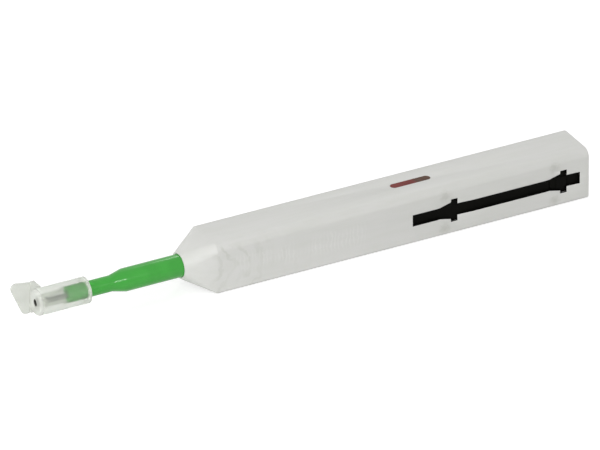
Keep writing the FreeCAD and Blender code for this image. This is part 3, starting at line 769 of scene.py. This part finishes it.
@dataclass(frozen=True)
class Coil:
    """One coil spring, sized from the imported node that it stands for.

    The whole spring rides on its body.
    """

    node: str
    body: str
    axis: Axis
    wire: float
    turns: float
    joint: str
    travel: float

    def build(self, tree: bpy.types.NodeTree, material: bpy.types.Material) -> None:
        """Makes the spring.

        Args:
            tree: The coil's Geometry Nodes tree.
            material: Its finish.
        """
        low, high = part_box(self.node)
        middle = (low + high) / 2
        size = high - low
        along = Vector(self.axis.value)
        length = size.dot(along)
        radius = size.z / 2 - self.wire
        piece = bpy.data.objects.new(self.node + "_raw", bpy.data.meshes.new(self.node))
        bpy.context.scene.collection.objects.link(piece)
        modifier = piece.modifiers.new("coil", "NODES")
        modifier.node_group = tree
        values = {"Mean Radius": radius, "Wire Radius": self.wire, "Turns": self.turns,
                  "Length": length, "Finish": material}
        for item in tree.interface.items_tree:
            if item.in_out == "INPUT" and item.name in values:
                modifier[item.identifier] = values[item.name]
        plain = applied(piece, self.node + "_coil")
        turn = Vector((0, 0, 1)).rotation_difference(along).to_matrix().to_4x4()
        plain.data.transform(Matrix.Translation(middle - along * (length / 2)) @ turn)
        finish_mesh(plain, self.body, self.node)
        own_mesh(plain)


# ---- sub-assemblies ----------------------------------------------------------------------------
class Finishes:
    """Every material of the pen, built once."""

    cross_inset: float = 1.8 * MM
    cross_spacing: float = 43.7 * MM
    tint_turn: float = 0.62
    tint_spread: float = 0.08

    def __init__(self) -> None:
        """Builds the shared groups and the materials that stand on them."""
        groups = Groups(grain_group(), flow_group(), shade_spot_group(), weave_group())
        self.sleeve_finishes(groups)
        self.cap_finishes(groups)
        self.moulded_finishes(groups)
        self.steel = Steel("drawn_steel").build(groups)
        self.spring = Steel("spring_steel", (0.42, 0.42, 0.44), 0.32, (1.0, 1.0, 1.0)).build(groups)
        self.red_tape = WovenTape("red_tape", (0.300, 0.040, 0.035), (0.140, 0.018, 0.015)).build(groups)
        self.brown_tape = WovenTape("brown_tape", (0.150, 0.065, 0.045),
                                    (0.070, 0.030, 0.020)).build(groups)
        self.white_tape = WovenTape("white_tape", (0.85, 0.85, 0.83), (0.62, 0.62, 0.60)).build(groups)

    def sleeve_finishes(self, groups: Groups) -> None:
        """Builds the finishes of the sleeve and its window.

        Args:
            groups: The shared shader groups.
        """
        low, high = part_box("outer_sleeve")
        gate = Vector((low.x, 0, (low.z + high.z) / 2))
        latch_low, latch_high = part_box("latch_button")
        rear_cross = (latch_low + latch_high) / 2 - Vector((self.cross_inset, 0, 0))
        crosses = [rear_cross, rear_cross - Vector((self.cross_spacing, 0, 0))]
        self.milky = MilkyPlastic().build(groups, gate, low.y, crosses)
        pane_low, pane_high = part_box("window_pane")
        length = pane_high.x - pane_low.x
        self.pane = TintedPane().build(groups, pane_low.x + self.tint_turn * length,
                                       self.tint_spread * length)

    def cap_finishes(self, groups: Groups) -> None:
        """Builds the finishes of the guide cap and its lid.

        Args:
            groups: The shared shader groups.
        """
        self.frosted = FrostedPlastic("frosted_plastic", 0.89, (0.695, 0.715, 0.67),
                                      (0.655, 0.675, 0.63), 0.40).build(groups)
        self.milk = FrostedPlastic("thick_frosted_plastic", 0.42, (0.70, 0.715, 0.675),
                                   (0.66, 0.675, 0.635), 0.2).build(groups)
        # Painted shade: near-black finish for the shade deep in the ferrule hole.
        self.hole_shade = Plastic("hole_shade_plastic", (0.050, 0.050, 0.045), (0.030, 0.030, 0.027), 0.5,
                            specular=0.1).build(groups)

    def moulded_finishes(self, groups: Groups) -> None:
        """Builds the solid coloured plastics.

        Args:
            groups: The shared shader groups.
        """
        self.green = Plastic("green_plastic", (0.036, 0.350, 0.032), (0.030, 0.320, 0.027), 0.20,
                             0.04, 0.01).build(groups)
        self.black = Plastic("black_plastic", (0.0045, 0.0045, 0.0036), (0.003, 0.003, 0.0025), 0.55,
                             0.15, 0.15, specular=0.03).build(groups)
        self.white = Plastic("white_plastic", (0.80, 0.80, 0.78), (0.72, 0.72, 0.70), 0.4).build(groups)
        self.red = Plastic("red_plastic", (0.300, 0.035, 0.028), (0.200, 0.022, 0.018),
                           0.3).build(groups)
        self.brown = Plastic("brown_plastic", (0.130, 0.050, 0.030), (0.080, 0.030, 0.020),
                             0.3).build(groups)


@dataclass
class Case:
    """Milky sleeve, the plug in its rear end and the pane in its window."""

    edge: float = 0.18 * MM
    shaded_wall_start: float = 0.12 * MM
    shaded_wall_end: float = 1.0 * MM
    slot_low: float = 3.0 * MM
    slot_high: float = 14.5 * MM
    rear_gap: float = 2.0 * MM
    wall_turn: float = 0.7

    def build(self, finishes: Finishes) -> None:
        """Dresses the three pieces.

        Args:
            finishes: The pen's materials.
        """
        sleeve = eased_copy("outer_sleeve", finishes.milky, self.edge)
        self.shade_slot_walls(sleeve, finishes.black)
        finish_mesh(sleeve, "case", "outer_sleeve")
        dress("rear_plug", finishes.milky)
        dress("window_pane", finishes.pane)

    def shade_slot_walls(self, sleeve: bpy.types.Object, material: bpy.types.Material) -> None:
        """Paints the walls of the latch slot black, as painted shade for the shadow inside the opening.

        Args:
            sleeve: The sleeve's piece.
            material: Black finish painted on the walls as shade.
        """
        low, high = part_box("outer_sleeve")
        sleeve.data.materials.append(material)
        # Painted shade: faces of the slot's walls get the black finish, standing in for the shadow in
        # the opening.
        for face in sleeve.data.polygons:
            centre = face.center
            in_wall = self.shaded_wall_start < centre.y - low.y < self.shaded_wall_end
            on_edge = abs(face.normal.y) < self.wall_turn
            in_slot = self.slot_low < centre.z - low.z < self.slot_high
            if in_wall and on_edge and in_slot and centre.x < high.x - self.rear_gap:
                face.material_index = 1


@dataclass
class Chassis:
    """Black channel with its cover, rack, pin and springs."""

    edge: float = 0.12 * MM

    def build(self, finishes: Finishes, coils: bpy.types.NodeTree) -> None:
        """Dresses the pieces that the chassis carries.

        Args:
            finishes: The pen's materials.
            coils: Geometry Nodes tree of a coil spring.
        """
        channel = eased_copy("chassis_frame", finishes.black, self.edge)
        finish_mesh(channel, "chassis", "chassis_frame")
        dress("chassis_cover", finishes.black)
        dress("feed_rack", finishes.black)
        dress("cover_screws", finishes.steel)
        dress("cam_pin", finishes.steel)
        for coil in (Coil("return_spring", "chassis", Axis.X, 0.3 * MM, 7.0, "push_stroke", 10.0 * MM),
                     Coil("latch_spring", "chassis", Axis.Y, 0.2 * MM, 3.5, "latch_press", 1.5 * MM)):
            coil.build(coils, finishes.spring)


@dataclass
class Latch:
    """Flared latch that holds the chassis at a cross."""

    edge: float = 0.2 * MM

    def build(self, finishes: Finishes) -> None:
        """Makes the latch with eased edges.

        Args:
            finishes: The pen's materials.
        """
        button = eased_copy("latch_button", finishes.black, self.edge)
        finish_mesh(button, "latch", "latch_button")


@dataclass
class Shuttle:
    """Ladder frame with the green nozzle and the reel pins."""

    edge: float = 0.15 * MM

    def build(self, finishes: Finishes) -> None:
        """Dresses the shuttle.

        Args:
            finishes: The pen's materials.
        """
        tube = eased_copy("nozzle", finishes.green, self.edge)
        finish_mesh(tube, "shuttle", "nozzle")
        dress("shuttle_frame", finishes.black)
        dress("supply_axle", finishes.steel)
        dress("take_up_axle", finishes.steel)


@dataclass
class Reels:
    """Both reels with their tape and the drive gear."""

    edge: float = 0.12 * MM

    def build(self, finishes: Finishes) -> None:
        """Dresses the reels.

        Args:
            finishes: The pen's materials.
        """
        for node, body, slot, material in (
                ("supply_reel", "supply", "red_plastic", finishes.red),
                ("take_up_reel", "take_up", "brown_plastic", finishes.brown)):
            finish_mesh(eased_copy(node, material, self.edge), body, node)
        dress("supply_tape", finishes.red_tape)
        dress("take_up_tape", finishes.brown_tape)
        dress("drive_gear", finishes.white)


@dataclass
class TipTrain:
    """Shaft, tube, collar, spring, tip and tape."""

    tape_edge: float = 0.02 * MM
    tape_front: float = 20.0 * MM

    def build(self, finishes: Finishes, coils: bpy.types.NodeTree) -> None:
        """Dresses the train.

        Args:
            finishes: The pen's materials.
            coils: Geometry Nodes tree of a coil spring.
        """
        dress("cam_shaft", finishes.white)
        dress("feed_tube", finishes.steel)
        dress("tube_collar", finishes.steel)
        dress("cleaning_tip", finishes.white)
        self.tape(finishes.white_tape)
        Coil("tip_spring", "shaft", Axis.X, 0.175 * MM, 7.0, "tip_press", 1.5 * MM).build(
            coils, finishes.spring)

    def tape(self, material: bpy.types.Material) -> None:
        """Makes the tape as one fixed piece with eased edges.

        Args:
            material: Finish of the tape.
        """
        loop = eased_copy("cleaning_tape", material, self.tape_edge)
        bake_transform(loop)
        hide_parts("cleaning_tape")


@dataclass
class GuideCap:
    """Frosted cap and its swinging lid."""

    edge: float = 0.2 * MM
    hole_radius: float = 1.46 * MM
    front_wall: float = 1.25 * MM
    hole_shade_start: float = 0.3 * MM
    rear_rim: float = 0.7 * MM
    rim_slice: float = 0.01 * MM

    def build(self, finishes: Finishes) -> None:
        """Makes both pieces with eased edges.

        Args:
            finishes: The pen's materials.
        """
        cap = eased_copy("guide_cap", finishes.frosted, self.edge)
        self.thicken_ends(cap, finishes)
        finish_mesh(cap, "cap", "guide_cap")
        finish_mesh(eased_copy("cap_lid", finishes.milk, self.edge), "lid", "cap_lid")

    def thicken_ends(self, cap: bpy.types.Object, finishes: Finishes) -> None:
        """Gives both ends and the lid's ear their milkier finish, and paints the ferrule hole's wall
        near-black behind its front edge, as painted shade deep in the hole.

        Args:
            cap: The cap's piece.
            finishes: The pen's materials.
        """
        places = [vertex.co.x for vertex in cap.data.vertices]
        hole_shade_x = min(places) + self.hole_shade_start
        front_x = min(places) + self.front_wall
        rear_x = max(places) - self.rear_rim
        work = bmesh.new()
        work.from_mesh(cap.data)
        for place in (hole_shade_x, front_x, rear_x):
            bmesh.ops.bisect_plane(work, geom=[*work.verts, *work.edges, *work.faces], dist=SLIVER,
                                   plane_co=(place, 0, 0), plane_no=(1, 0, 0))
        work.to_mesh(cap.data)
        work.free()
        low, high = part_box("nozzle")
        axis_z = (low.z + high.z) / 2
        reach = self.outer_radius(cap, rear_x, axis_z)
        cap.data.materials.append(finishes.milk)
        cap.data.materials.append(finishes.hole_shade)
        milk_index, hole_shade_index = 1, 2
        for face in cap.data.polygons:
            centre = face.center
            radius = math.hypot(centre.y, centre.z - axis_z)
            # Painted shade: the hole's wall behind its front edge gets the near-black finish.
            if hole_shade_x < centre.x < front_x and radius < self.hole_radius:
                face.material_index = hole_shade_index
            elif centre.x < front_x or centre.x > rear_x or radius > reach:
                face.material_index = milk_index

    def outer_radius(self, cap: bpy.types.Object, rear_x: float, axis_z: float) -> float:
        """Measures the round body behind the ear.

        Args:
            cap: The cap's piece.
            rear_x: X of the rim's start.
            axis_z: Height of the pen's axis.

        Returns:
            The body's radius.
        """
        rim = [vertex.co for vertex in cap.data.vertices if vertex.co.x > rear_x - self.rim_slice]
        return max(math.hypot(place.y, place.z - axis_z) for place in rim)


# ---- studio ------------------------------------------------------------------------------------
@dataclass(frozen=True)
class Lamp:
    """Soft square lamp that faces the pen, in metres and watts."""

    name: str
    place: tuple[float, float, float]
    size: float
    power: float

    def build(self) -> None:
        """Hangs the lamp."""
        data = bpy.data.lights.new(self.name, "AREA")
        data.size = self.size
        data.energy = self.power
        lamp = bpy.data.objects.new(self.name, data)
        lamp.location = self.place
        lamp.rotation_euler = Vector(self.place).to_track_quat("Z", "Y").to_euler()
        bpy.context.scene.collection.objects.link(lamp)


@dataclass(frozen=True)
class Studio:
    """Pale floor, even light and the camera."""

    azimuth: float = math.radians(-28.4)
    elevation: float = math.radians(28.7)
    distance: float = 7.0
    lens: float = 1203.4
    clip_end: float = 50.0
    aim: tuple[float, float, float] = (0.94 * MM, 0.0, 13.11 * MM)
    floor_size: float = 12.0
    floor_shade: float = 0.62
    floor_glow: float = 0.58
    ambient: float = 0.66
    lamps: tuple[Lamp, ...] = (Lamp("key", (-1.40, -0.76, 0.42), 0.8, 15.0),
                               Lamp("back", (0.60, 0.88, 0.98), 0.3, 2.7),
                               Lamp("glint", (-0.06, -1.78, 1.12), 0.13, 4.4))

    def camera(self) -> None:
        """Sets the long-lens camera at the pen's near side."""
        data = bpy.data.cameras.new("camera")
        data.lens = self.lens
        data.sensor_width = 36.0
        data.clip_end = self.clip_end
        camera = bpy.data.objects.new("camera", data)
        bpy.context.scene.collection.objects.link(camera)
        away = Vector((math.sin(self.azimuth) * math.cos(self.elevation),
                       -math.cos(self.azimuth) * math.cos(self.elevation),
                       math.sin(self.elevation)))
        camera.location = Vector(self.aim) + away * self.distance
        camera.rotation_euler = away.to_track_quat("Z", "Y").to_matrix().to_euler()
        bpy.context.scene.camera = camera

    def floor(self) -> None:
        """Lays the floor: white to the eye, and shaded where the pen stands on it."""
        mesh = bpy.data.meshes.new("floor")
        half = self.floor_size / 2
        corners = [(-half, -half, 0), (half, -half, 0), (half, half, 0), (-half, half, 0)]
        mesh.from_pydata(corners, [], [(0, 1, 2, 3)])
        floor = bpy.data.objects.new("floor", mesh)
        bpy.context.scene.collection.objects.link(floor)
        material, tree, surface = start_material("floor")
        shade = self.floor_shade
        surface.inputs["Base Color"].default_value = (shade, shade, shade, 1.0)
        surface.inputs["Roughness"].default_value = 0.9
        surface.inputs["Specular IOR Level"].default_value = 0.0
        surface.inputs["Emission Color"].default_value = (1.0, 1.0, 1.0, 1.0)
        glow = tree.math("MULTIPLY", tree.seen(), self.floor_glow)
        wire(tree, surface, {"Emission Strength": glow})
        mesh.materials.append(material)

    def world(self) -> None:
        """Lights everything evenly and shows white behind it."""
        world = bpy.data.worlds.new("world")
        world.use_nodes = True
        bpy.context.scene.world = world
        tree = Tree(world.node_tree)
        background = world.node_tree.nodes["Background"]
        background.inputs["Color"].default_value = (1.0, 1.0, 1.0, 1.0)
        strength = tree.ramp(tree.seen(), 0.0, 1.0, self.ambient, 1.0, smooth=False)
        tree.tree.links.new(strength, background.inputs["Strength"])

    def build(self) -> None:
        """Sets floor, light and camera."""
        self.floor()
        self.world()
        for lamp in self.lamps:
            lamp.build()
        self.camera()
        bpy.context.scene.view_settings.view_transform = "Standard"


def main() -> None:
    """Builds the finishes, the sub-assemblies and the studio."""
    logging.basicConfig(level=logging.INFO, format="%(message)s")
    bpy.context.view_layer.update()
    finishes = Finishes()
    coils = coil_tree()
    Case().build(finishes)
    Chassis().build(finishes, coils)
    Latch().build(finishes)
    Shuttle().build(finishes)
    Reels().build(finishes)
    TipTrain().build(finishes, coils)
    GuideCap().build(finishes)
    Studio().build()


if __name__ == "__main__":
    main()
